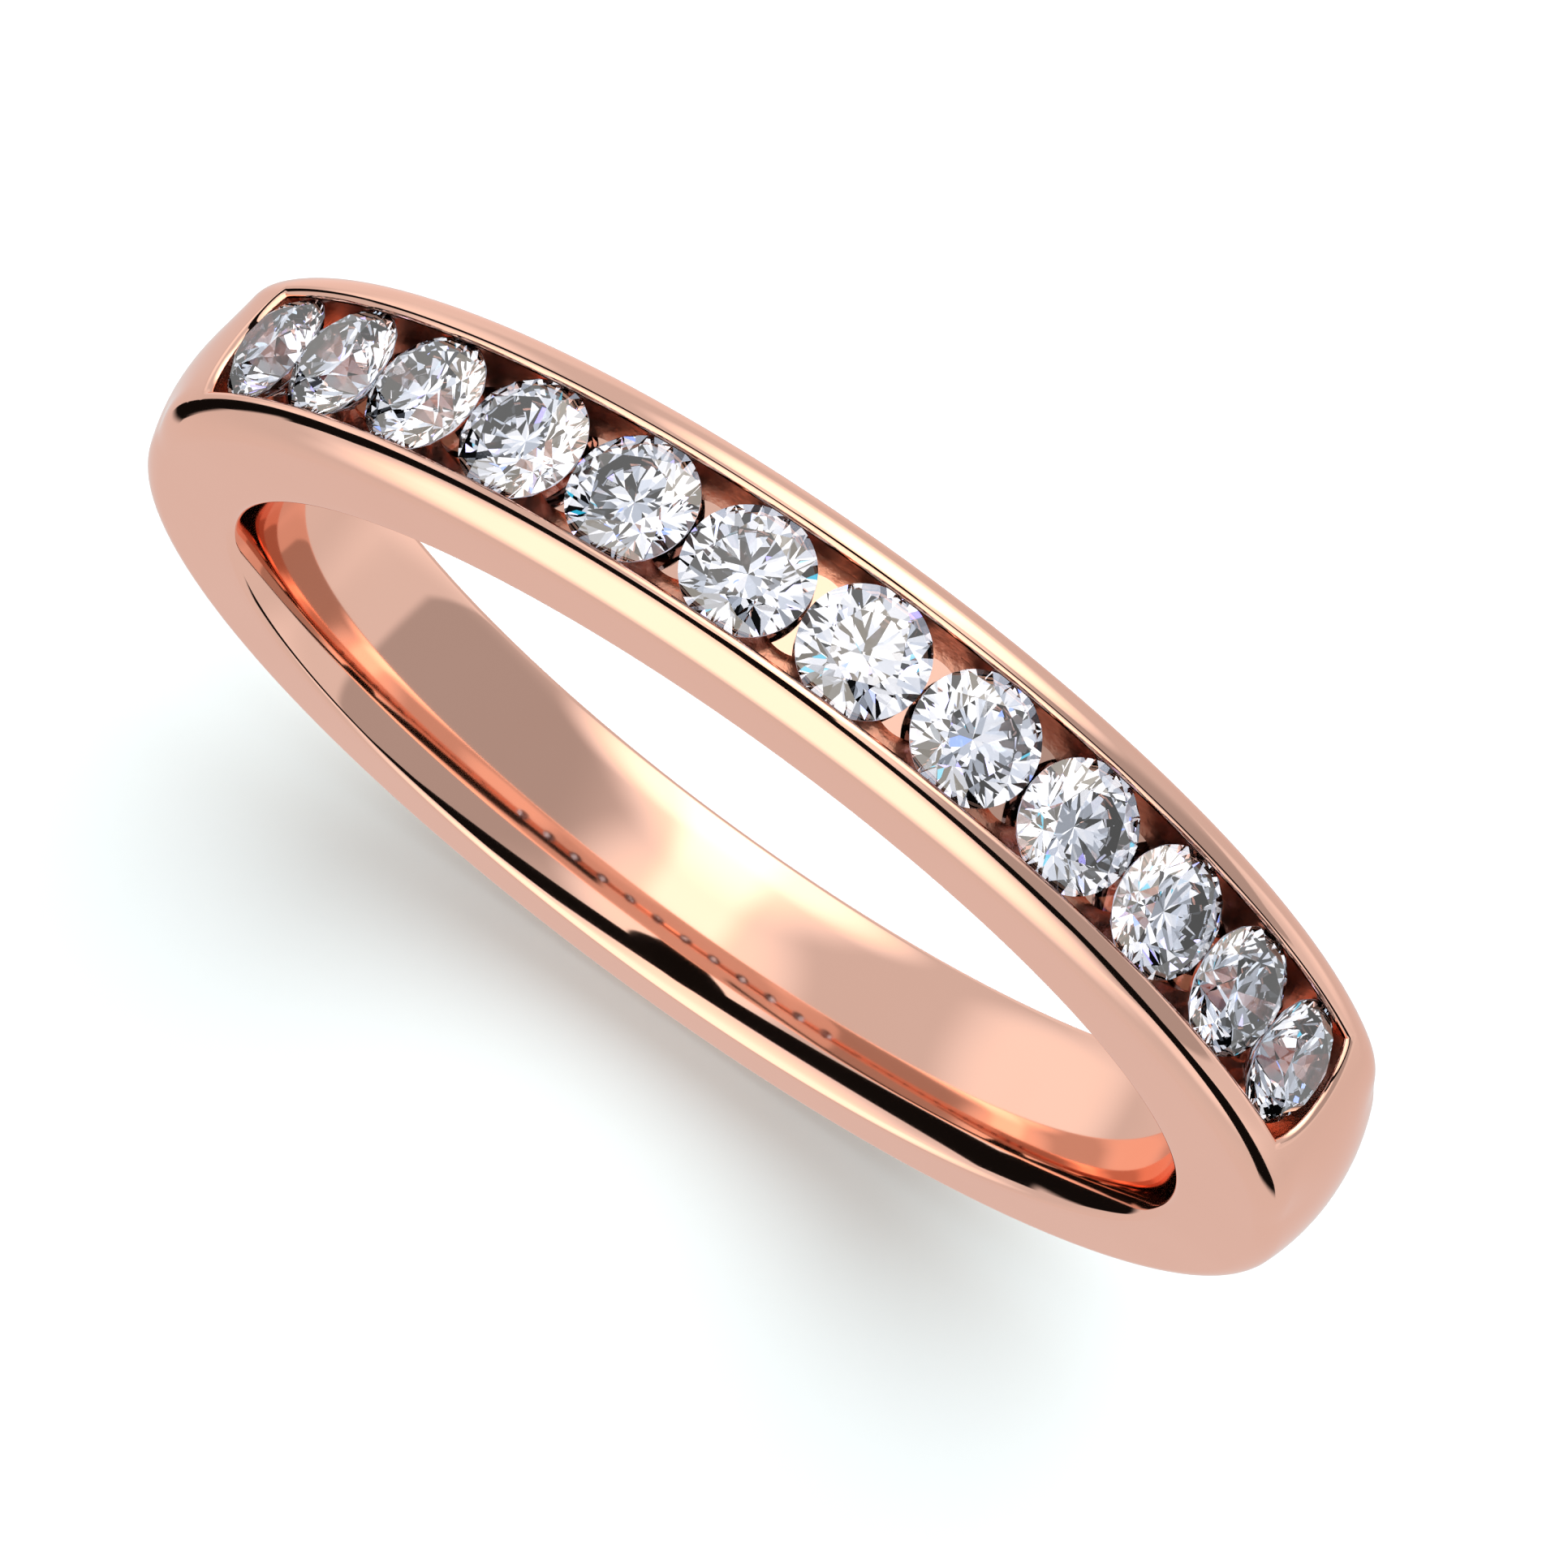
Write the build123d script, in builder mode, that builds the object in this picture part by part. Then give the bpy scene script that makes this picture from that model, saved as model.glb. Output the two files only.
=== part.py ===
# Wedding band with a channel of twelve round brilliants.
# Units are millimetres.  The finger axis runs along Y, +Z points to the middle
# of the row of stones, and the origin is the centre of the bore.
import math
import os

from build123d import *

os.makedirs("parts", exist_ok=True)

# ---------------------------------------------------------------- stones
stone_count = 12
stone_diameter = 1.95
stone_gap = 0.027
girdle_height = 0.05
table_ratio = 0.56
crown_angle = 34.5
pavilion_angle = 40.8
star_length = 0.5
lower_half_length = 0.77
facet_count = 8

# ---------------------------------------------------------------- band
bore_radius = 8.60
land_width = 0.92
comfort_radius = 2.40
lip_radius = 0.15
rail_width = 0.58
band_thickness = 2.23
rail_corner_radius = 0.55
shank_crown_radius = 3.4
shank_corner_radius = 0.44
end_wall_run = 0.36
blend_run = 2.2
blend_steps = 6

# ---------------------------------------------------------------- setting
rail_height_over_girdle = 0.22
girdle_bite = 0.055
seat_clearance = 0.02
floor_drop = 0.46
bridge_drop = 0.24
bridge_radius = 0.62
end_gap = 0.225
mouth_chamfer = 0.09
azure_radius = 0.35
cut_margin = 0.6
end_sweep = 45

outer_radius = bore_radius + band_thickness
girdle_circle_radius = outer_radius - rail_height_over_girdle
stone_radius = stone_diameter / 2
half_girdle = girdle_height / 2
channel_half_width = stone_radius - girdle_bite
half_width = channel_half_width + rail_width
channel_floor_radius = girdle_circle_radius - floor_drop
channel_end_radius = stone_radius + end_gap
half_spacing = (stone_diameter + stone_gap) / 2
stone_spacing_angle = 2 * math.degrees(math.asin(half_spacing / girdle_circle_radius))
last_stone_angle = stone_spacing_angle * (stone_count - 1) / 2
stone_angles = [
    stone_spacing_angle * index - last_stone_angle for index in range(stone_count)
]
bridge_angles = [angle + stone_spacing_angle / 2 for angle in stone_angles[:-1]]
channel_end_angle = math.degrees(channel_end_radius / girdle_circle_radius)
head_end_angle = last_stone_angle + channel_end_angle + math.degrees(end_wall_run / outer_radius)
shank_start_angle = head_end_angle + math.degrees(blend_run / outer_radius)
crown_slope = math.tan(math.radians(crown_angle))
pavilion_slope = math.tan(math.radians(pavilion_angle))
table_radius = table_ratio * stone_radius
table_height = half_girdle + (stone_radius - table_radius) * crown_slope
culet_height = -half_girdle - stone_radius * pavilion_slope
facet_step = 360 / facet_count
half_step = facet_step / 2


def radial_direction(angle):
    """Unit vector from the bore centre towards a place on the band."""
    turn = math.radians(angle)
    return Vector(math.sin(turn), 0, math.cos(turn))


def tangent_direction(angle):
    """Unit vector along the band at a place on it."""
    turn = math.radians(angle)
    return Vector(math.cos(turn), 0, -math.sin(turn))


def section_plane(angle):
    """Plane of a cross-section: local X is the finger axis, local Y is radial."""
    return Plane(origin=(0, 0, 0), x_dir=(0, 1, 0), z_dir=tangent_direction(angle))


def seat_plane(angle):
    """Girdle plane of the stone that sits at the given angle."""
    centre = radial_direction(angle) * girdle_circle_radius
    return Plane(
        origin=centre, x_dir=tangent_direction(angle), z_dir=radial_direction(angle)
    )


def bridge_plane(angle):
    """Flat top of the metal bridge left standing between two seats."""
    centre = radial_direction(angle) * (girdle_circle_radius - bridge_drop)
    return Plane(
        origin=centre, x_dir=tangent_direction(angle), z_dir=radial_direction(angle)
    )


def arc_point(centre, radius, degrees):
    """Point on a circle, with the angle counted from local X."""
    turn = math.radians(degrees)
    return (
        centre[0] + radius * math.cos(turn),
        centre[1] + radius * math.sin(turn),
    )


def mirrored(point):
    """The same point on the other side of the band."""
    return (-point[0], point[1])


def outer_outline(roundness):
    """Points of the outer profile: 0 is the flat-topped head, 1 is the domed shank."""
    corner = rail_corner_radius + roundness * (shank_corner_radius - rail_corner_radius)
    centre_across = half_width - corner
    if roundness == 0:
        centre = (centre_across, outer_radius - corner)
        start_degrees = 90
    else:
        crown = shank_crown_radius / roundness
        rise = math.sqrt((crown - corner) ** 2 - centre_across**2)
        centre = (centre_across, outer_radius - crown + rise)
        start_degrees = math.degrees(math.atan2(rise, centre_across))
    shoulder = arc_point(centre, corner, start_degrees)
    middle = arc_point(centre, corner, start_degrees / 2)
    side = arc_point(centre, corner, 0)
    return side, middle, shoulder


def bore_outline():
    """Points of the inner profile: a narrow land, a comfort curve and a rounded lip."""
    land = (land_width / 2, bore_radius)
    comfort_centre = (land_width / 2, bore_radius + comfort_radius)
    lip_across = half_width - lip_radius
    reach = comfort_radius - lip_radius
    drop = math.sqrt(reach**2 - (lip_across - comfort_centre[0]) ** 2)
    lip_centre = (lip_across, comfort_centre[1] - drop)
    turn = math.degrees(math.atan2(-drop, lip_across - comfort_centre[0]))
    comfort_middle = arc_point(comfort_centre, comfort_radius, (turn - 90) / 2)
    inner = arc_point(lip_centre, lip_radius, turn)
    middle = arc_point(lip_centre, lip_radius, turn / 2)
    side = arc_point(lip_centre, lip_radius, 0)
    return land, comfort_middle, inner, middle, side


def band_section(angle, roundness):
    """Closed cross-section of the band at an angle."""
    land, comfort_middle, low_inner, low_middle, low_side = bore_outline()
    top_side, top_middle, shoulder = outer_outline(roundness)
    with BuildSketch(section_plane(angle)) as section:
        with BuildLine():
            Line(mirrored(land), land)
            ThreePointArc(land, comfort_middle, low_inner)
            ThreePointArc(low_inner, low_middle, low_side)
            Line(low_side, top_side)
            ThreePointArc(top_side, top_middle, shoulder)
            if roundness == 0:
                Line(shoulder, mirrored(shoulder))
            else:
                ThreePointArc(shoulder, (0, outer_radius), mirrored(shoulder))
            ThreePointArc(mirrored(shoulder), mirrored(top_middle), mirrored(top_side))
            Line(mirrored(top_side), mirrored(low_side))
            ThreePointArc(mirrored(low_side), mirrored(low_middle), mirrored(low_inner))
            ThreePointArc(mirrored(low_inner), mirrored(comfort_middle), mirrored(land))
        make_face()
    return section.sketch


def blend_angle(share):
    """Angle of a section in the run from head to shank."""
    return head_end_angle + share * (shank_start_angle - head_end_angle)


def blend_roundness(share):
    """Smooth step from the head profile to the shank profile."""
    return share * share * (3 - 2 * share)


def channel_profile(plane):
    """Section of the channel, widening at its mouth."""
    mouth = outer_radius - mouth_chamfer
    reach = mouth_chamfer + cut_margin
    corners = [
        (channel_half_width, channel_floor_radius),
        (channel_half_width, mouth),
        (channel_half_width + reach, mouth + reach),
    ]
    with BuildSketch(plane) as profile:
        with BuildLine():
            Polyline(*corners, *[mirrored(point) for point in reversed(corners)], close=True)
        make_face()
    return profile.sketch


def end_profile(angle):
    """Half-section of the round channel end about the axis of the last stone."""
    reach = mouth_chamfer + cut_margin
    edge_height = math.sqrt(outer_radius**2 - channel_end_radius**2)
    mouth = edge_height - girdle_circle_radius - mouth_chamfer
    plane = seat_plane(angle)
    with BuildSketch(Plane(origin=plane.origin, x_dir=plane.x_dir, z_dir=-plane.y_dir)) as half:
        with BuildLine():
            Polyline(
                (0, -floor_drop - cut_margin),
                (channel_end_radius, -floor_drop - cut_margin),
                (channel_end_radius, mouth),
                (channel_end_radius + reach, mouth + reach),
                (0, mouth + reach),
                close=True,
            )
        make_face()
    return half.sketch


def seat_profile(angle):
    """Half-section of one seat: girdle groove, pavilion cone and azure hole."""
    groove_radius = stone_radius + seat_clearance
    groove_top = half_girdle + seat_clearance
    cone_end = -groove_top - (groove_radius - azure_radius) * pavilion_slope
    crown_end = groove_top + groove_radius * crown_slope
    hole_end = bore_radius - girdle_circle_radius - cut_margin
    plane = seat_plane(angle)
    with BuildSketch(Plane(origin=plane.origin, x_dir=plane.x_dir, z_dir=-plane.y_dir)) as half:
        with BuildLine():
            Polyline(
                (0, hole_end),
                (azure_radius, hole_end),
                (azure_radius, cone_end),
                (groove_radius, -groove_top),
                (groove_radius, groove_top),
                (0, crown_end),
                close=True,
            )
        make_face()
    return half.sketch


def facet_plane(first, second, third):
    """Plane through three points whose Z side faces away from the stone's middle."""
    normal = (second - first).cross(third - first).normalized()
    if normal.dot(first) < 0:
        normal = -normal
    return Plane(origin=first, z_dir=normal)


def polar_point(radius, degrees, height):
    """Point given by its distance from the stone's axis, its turn and its height."""
    turn = math.radians(degrees)
    return Vector(radius * math.cos(turn), radius * math.sin(turn), height)


# ---------------------------------------------------------------- one brilliant
half_step_cosine = math.cos(math.radians(half_step))
table_edge_reach = table_radius * half_step_cosine
star_radius = table_edge_reach + star_length * (stone_radius - table_edge_reach)
star_height = half_girdle + (stone_radius - star_radius * half_step_cosine) * crown_slope
lower_radius = (1 - lower_half_length) * stone_radius
lower_height = (
    -half_girdle - (stone_radius - lower_radius * half_step_cosine) * pavilion_slope
)

with BuildPart() as brilliant:
    with Locations((0, 0, culet_height)):
        Cylinder(
            stone_radius,
            table_height - culet_height,
            align=(Align.CENTER, Align.CENTER, Align.MIN),
        )
    for step in range(facet_count):
        azimuth = step * facet_step
        table_corner = polar_point(table_radius, azimuth, table_height)
        next_corner = polar_point(table_radius, azimuth + facet_step, table_height)
        star_point = polar_point(star_radius, azimuth + half_step, star_height)
        other_star_point = polar_point(star_radius, azimuth - half_step, star_height)
        bezel = facet_plane(table_corner, star_point, other_star_point)
        star = facet_plane(table_corner, next_corner, star_point)
        split(bisect_by=bezel, keep=Keep.BOTTOM)
        split(bisect_by=star, keep=Keep.BOTTOM)
        culet = Vector(0, 0, culet_height)
        lower_point = polar_point(lower_radius, azimuth + half_step, lower_height)
        other_lower_point = polar_point(lower_radius, azimuth - half_step, lower_height)
        pavilion = facet_plane(culet, lower_point, other_lower_point)
        split(bisect_by=pavilion, keep=Keep.BOTTOM)
        for side in (-1, 1):
            middle = azimuth + side * half_step
            upper_main = polar_point(stone_radius, azimuth, half_girdle)
            upper_middle = polar_point(stone_radius, middle, half_girdle)
            upper_top = polar_point(star_radius, middle, star_height)
            upper_half = facet_plane(upper_main, upper_middle, upper_top)
            split(bisect_by=upper_half, keep=Keep.BOTTOM)
            lower_main = polar_point(stone_radius, azimuth, -half_girdle)
            lower_middle = polar_point(stone_radius, middle, -half_girdle)
            lower_top = polar_point(lower_radius, middle, lower_height)
            lower_half = facet_plane(lower_main, lower_middle, lower_top)
            split(bisect_by=lower_half, keep=Keep.BOTTOM)


# ---------------------------------------------------------------- spaces cut from the band
def channel_space():
    """Long channel between the first and the last stone, with the bridges left out of it."""
    with BuildPart() as channel:
        add(channel_profile(section_plane(-last_stone_angle)))
        revolve(axis=Axis.Y, revolution_arc=2 * last_stone_angle)
        for angle in bridge_angles:
            with Locations(bridge_plane(angle)):
                Cylinder(
                    bridge_radius,
                    floor_drop,
                    align=(Align.CENTER, Align.CENTER, Align.MAX),
                    mode=Mode.SUBTRACT,
                )
    return channel.part


def turned_space(profile, angle):
    """A half-section turned about the axis of the stone at the given angle."""
    plane = seat_plane(angle)
    with BuildPart() as turned:
        add(profile)
        revolve(axis=Axis(plane.origin, plane.z_dir))
    return turned.part


def channel_end_space(angle):
    """Round end of the channel beyond the first or the last stone."""
    round_end = turned_space(end_profile(angle), angle)
    with BuildPart() as channel_end:
        add(channel_profile(section_plane(angle - end_sweep)))
        revolve(axis=Axis.Y, revolution_arc=2 * end_sweep)
        add(round_end, mode=Mode.INTERSECT)
    return channel_end.part


spaces = [channel_space()]
spaces += [channel_end_space(angle) for angle in (-last_stone_angle, last_stone_angle)]
spaces += [turned_space(seat_profile(angle), angle) for angle in stone_angles]

# ---------------------------------------------------------------- band
with BuildPart() as band:
    add(band_section(-head_end_angle, 0))
    revolve(axis=Axis.Y, revolution_arc=2 * head_end_angle)
    add(band_section(shank_start_angle, 1))
    revolve(axis=Axis.Y, revolution_arc=360 - 2 * shank_start_angle)
    for side in (-1, 1):
        for step in range(blend_steps + 1):
            share = step / blend_steps
            add(band_section(side * blend_angle(share), blend_roundness(share)))
        loft()
    for space in spaces:
        add(space, mode=Mode.SUBTRACT)

band.part.label = "band"
export_step(band.part, "parts/band.step")

# ---------------------------------------------------------------- twelve stones
for number, angle in enumerate(stone_angles, start=1):
    with BuildPart() as diamond:
        with Locations(seat_plane(angle)):
            add(brilliant.part)
    name = f"diamond_{number:02d}"
    diamond.part.label = name
    export_step(diamond.part, f"parts/{name}.step")
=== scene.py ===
import math

import bmesh
import bpy
import numpy as np
from bpy.props import FloatProperty, FloatVectorProperty, IntProperty, PointerProperty
from bpy.types import Operator, Panel, PropertyGroup
from mathutils import Matrix, Vector


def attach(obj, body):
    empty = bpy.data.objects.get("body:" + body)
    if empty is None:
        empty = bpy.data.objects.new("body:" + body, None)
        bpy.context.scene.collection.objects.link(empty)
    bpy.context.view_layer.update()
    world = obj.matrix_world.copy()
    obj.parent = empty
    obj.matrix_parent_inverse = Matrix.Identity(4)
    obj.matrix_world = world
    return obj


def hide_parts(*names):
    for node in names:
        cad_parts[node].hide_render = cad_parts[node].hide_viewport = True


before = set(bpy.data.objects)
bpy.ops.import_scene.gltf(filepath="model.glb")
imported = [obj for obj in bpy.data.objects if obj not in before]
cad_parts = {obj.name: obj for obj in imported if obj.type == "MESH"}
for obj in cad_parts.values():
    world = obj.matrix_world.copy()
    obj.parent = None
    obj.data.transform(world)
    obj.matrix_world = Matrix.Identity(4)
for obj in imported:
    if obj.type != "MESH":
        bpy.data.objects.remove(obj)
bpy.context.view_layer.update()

bl_info = {
    "name": "Wedding band",
    "version": (1, 0, 0),
    "blender": (4, 5, 0),
    "location": "3D View > Sidebar > Wedding band",
    "description": "Builds the channel-set band, its diamonds and the studio round it",
    "category": "Object",
}


def linear(hex_colour):
    """Linear red, green and blue of an sRGB hex value."""
    channels = np.array([int(hex_colour[place:place + 2], 16) for place in (1, 3, 5)]) / 255
    low = channels / 12.92
    high = ((channels + 0.055) / 1.055) ** 2.4
    return tuple(float(value) for value in np.where(channels <= 0.04045, low, high))


def length(name, description, default):
    """A size in metres."""
    return FloatProperty(
        name=name, description=description, default=default, min=0, unit="LENGTH", precision=5
    )


def power(name, description, default):
    """The power of a lamp in watts."""
    return FloatProperty(
        name=name, description=description, default=default, min=0, unit="POWER", precision=4
    )


def colour(name, description, hex_colour):
    """A colour given as an sRGB hex value and kept as linear light."""
    return FloatVectorProperty(
        name=name, description=description, default=linear(hex_colour), subtype="COLOR",
        size=3, min=0, max=1,
    )


# ------------------------------------------------------------------ sizes and colours
class BandSizes(PropertyGroup):
    """Sizes of the band, its channel and its seats."""

    bore_radius: length("Bore radius", "Radius of the land inside the band", 0.00860)
    land_half_width: length("Half land", "Half the width of the strip with the holes", 0.00046)
    bore_crown: length("Bore crown", "Radius across the middle of the bore", 0.0070)
    crown_half_width: length("Half crown", "Half the width of that crown", 0.00090)
    comfort_radius: length("Comfort radius", "Radius of the comfort curve beside it", 0.00190)
    lip_radius: length("Lip radius", "Rounding between the bore and the side", 0.00015)
    outer_radius: length("Outer radius", "Radius of the outside of the band", 0.01083)
    half_width: length("Half width", "Half the width of the band", 0.00150)
    head_corner: length("Head corner", "Rounding of the rail tops", 0.00055)
    shank_corner: length("Shank corner", "Rounding of the plain shank", 0.00044)
    shank_crown: length("Shank crown", "Radius of the domed top of the shank", 0.00340)
    end_wall_run: length("End wall", "Metal between the channel end and the blend", 0.00036)
    blend_run: length("Blend", "Run over which the flat head turns into the dome", 0.0022)
    channel_half_width: length("Channel half width", "Half the width between the walls", 0.00092)
    channel_end_radius: length("Channel end radius", "Radius of the round channel end", 0.00120)
    mouth_round: length("Mouth rounding", "Rounded edge of the channel mouth", 0.00013)
    girdle_circle: length("Girdle circle", "Radius of the circle through the girdles", 0.01061)
    floor_drop: length("Floor drop", "Channel floor under the girdles", 0.00046)
    seat_radius: length("Seat radius", "Radius of the groove that holds a girdle", 0.000995)
    groove_half_height: length("Groove half height", "Half the height of that groove", 0.000045)
    azure_radius: length("Azure radius", "Radius of the hole behind each stone", 0.00035)
    bridge_radius: length("Bridge radius", "Radius of the metal left between two seats", 0.00062)
    bridge_drop: length("Bridge drop", "Top of a bridge under the girdles", 0.00024)
    stone_gap_step: length("Stone step", "Distance between neighbouring stone centres", 0.001977)
    stone_count: IntProperty(name="Stones", description="Stones in the channel", default=12, min=2)
    crown_angle: FloatProperty(
        name="Crown angle", description="Slope of a crown", default=math.radians(34.5),
        subtype="ANGLE",
    )
    pavilion_angle: FloatProperty(
        name="Pavilion angle", description="Slope of a pavilion", default=math.radians(40.8),
        subtype="ANGLE",
    )


class FinishColours(PropertyGroup):
    """Colours of the metal, the stones and the studio."""

    rose_gold: colour("Rose gold", "Polished rose gold", "#f7c8b5")
    rose_gold_edge: colour("Rose gold edge", "Rose gold seen along its surface", "#fde9e2")
    rose_gold_deep: colour("Deep rose gold", "The same metal where the polish is thinner", "#f3c2ae")
    # painted shade: the inside of the channel gets a darker gold than the polished metal
    satin_gold_painted_shade: colour("Satin gold", "Inside of the channel as it was cast", "#dd9f88")
    diamond: colour("Diamond", "Colourless diamond", "#e3ecff")
    floor: colour("Floor", "White sweep", "#d5e1e7")
    tent: colour("Tent", "Light cloth of the tent", "#ffffff")
    tent_bright: colour("Bright tent", "Warmer cloth where the lamps stand behind it", "#fff6ea")


class StudioSizes(PropertyGroup):
    """Camera, floor and lights."""

    camera_place: FloatVectorProperty(
        name="Camera", description="Camera position", default=(0.00853, -0.02443, 0.10083),
        subtype="TRANSLATION", unit="LENGTH", size=3,
    )
    camera_right: FloatVectorProperty(
        name="Camera right", description="Direction to the right of the camera",
        default=(0.8156, 0.5737, 0.0748), subtype="DIRECTION", size=3,
    )
    camera_back: FloatVectorProperty(
        name="Camera back", description="Direction from the object towards the camera",
        default=(0.0789, -0.2384, 0.9680), subtype="DIRECTION", size=3,
    )
    camera_view: FloatProperty(
        name="View", description="Field of view", default=math.radians(13.23), subtype="ANGLE",
    )
    floor_half: length("Floor half size", "Half the side of the floor", 0.6)
    overhead_place: FloatVectorProperty(
        name="Overhead lamp", description="Place of the softbox over the band",
        default=(0.03, 0.17, 0.36), subtype="TRANSLATION", unit="LENGTH", size=3,
    )
    overhead_size: length("Overhead size", "Diameter of that softbox", 0.55)
    overhead_power: power("Overhead power", "Power of that softbox", 1.9)
    spark_size: length("Spark size", "Diameter of a small coloured lamp", 0.060)
    spark_power: power("Spark power", "Power of a small coloured lamp", 0.012)
    card_distance: length("Card distance", "From the stones to the lamps and cards", 0.30)


# ------------------------------------------------------------------ steps of the surfaces
# columns of points round the band: in a stone's cell, round a channel end, up to the end of the
# head, over the blend and down the plain shank
COLUMNS_PER_CELL = 16
COLUMNS_AT_END = 12
COLUMNS_TO_HEAD_END = 4
COLUMNS_OVER_BLEND = 15
COLUMNS_OF_SHANK = 109
# steps across the skin, in the order in which it runs from the mouth to the land
TOP_STEPS = 14
CORNER_STEPS = 12
FLAT_SIDE_STEPS = 6
LIP_STEPS = 8
COMFORT_STEPS = 12
CROWN_STEPS = 8
# steps across a cell, and of the surfaces of a seat from the hole outwards
SIDE_STEPS = 8
CONE_STEPS = 3
FLOOR_STEPS = 4
HOLE_STEPS = 4
LAND_STEPS = 5
MOUTH_STEPS = 8
# heights of the rows of points on a channel wall, in half heights of the girdle groove
WALL_LEVELS = (2.6, 2.2, 1.6, 1.05, 0.95, 0, -0.95, -1.05, -1.7, -2.3, -3.2, -6)
SEAT_REACH = 5
BRIDGE_LEVELS = 6
BRIDGE_ROWS = 41
BRIDGE_TOP_STEPS = 6
# rounds that settle where two surfaces meet
CREASE_ROUNDS = 8
BRIDGE_ROUNDS = 20
# angle of the corner arc at which the top gives way to the side
CORNER_SPLIT = math.radians(60)
POLISHED = 0
# material number of the channel inside, whose darker gold is painted shade
SATIN_PAINTED_SHADE = 1
WELD = 2e-7
SHARP_ANGLE = math.radians(30)


# ------------------------------------------------------------------ surfaces
def steps_after(start, end, count):
    """Even steps from start to end, without the start itself."""
    return np.linspace(start, end, count + 1)[1:]


def on_band(angle, radius, across):
    """Points at an angle round the band: (radius sin angle, across, radius cos angle)."""
    angle, radius, across = np.broadcast_arrays(angle, radius, across)
    return np.stack([radius * np.sin(angle), across, radius * np.cos(angle)], axis=-1)


def on_seat(angle, girdle_circle, along, across, height):
    """Points in the frame of a seat: along the band, across it, and up from the girdle."""
    along, across, height = np.broadcast_arrays(along, across, height)
    middle = np.array([math.sin(angle), 0.0, math.cos(angle)])
    forward = np.array([math.cos(angle), 0.0, -math.sin(angle)])
    side = np.array([0.0, 1.0, 0.0])
    return (
        along[..., None] * forward
        + across[..., None] * side
        + (girdle_circle + height)[..., None] * middle
    )


def grid_faces(rows, columns, closed_rows=False):
    """Quads between neighbouring points of a grid, the last row joined to the first if closed."""
    index = np.arange(rows * columns).reshape(rows, columns)
    if closed_rows:
        index = np.vstack([index, index[:1]])
    return np.stack(
        [index[:-1, :-1], index[1:, :-1], index[1:, 1:], index[:-1, 1:]], axis=-1
    ).reshape(-1, 4)


class Shell:
    """Patches of points and quads that are joined into one mesh."""

    def __init__(self):
        self.points = []
        self.faces = []
        self.finishes = []
        self.count = 0

    def patch(self, points, closed_rows=False, finish=POLISHED):
        """Adds a grid of points, rows by columns, with the number of its material."""
        rows, columns = points.shape[:2]
        faces = grid_faces(rows, columns, closed_rows)
        self.points.append(points.reshape(-1, 3))
        self.faces.append(faces + self.count)
        self.finishes.append(np.full(len(faces), finish, dtype=np.int32))
        self.count += rows * columns

    def mesh(self, name, weld):
        """One mesh of all the patches, with their shared edges welded and normals outward."""
        mesh = bpy.data.meshes.new(name)
        mesh.from_pydata(np.concatenate(self.points), [], np.concatenate(self.faces))
        mesh.polygons.foreach_set("material_index", np.concatenate(self.finishes))
        work = bmesh.new()
        work.from_mesh(mesh)
        bmesh.ops.remove_doubles(work, verts=work.verts, dist=weld)
        bmesh.ops.dissolve_degenerate(work, edges=work.edges, dist=weld)
        bmesh.ops.recalc_face_normals(work, faces=work.faces)
        work.to_mesh(mesh)
        work.free()
        return mesh


def add_piece(name, mesh, sharp_angle):
    """Puts a mesh in the scene at the origin, smooth up to an angle between faces."""
    piece = bpy.data.objects.new(name, mesh)
    bpy.context.scene.collection.objects.link(piece)
    mesh.shade_smooth()
    mesh.set_sharp_from_angle(angle=sharp_angle)
    return piece


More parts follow.
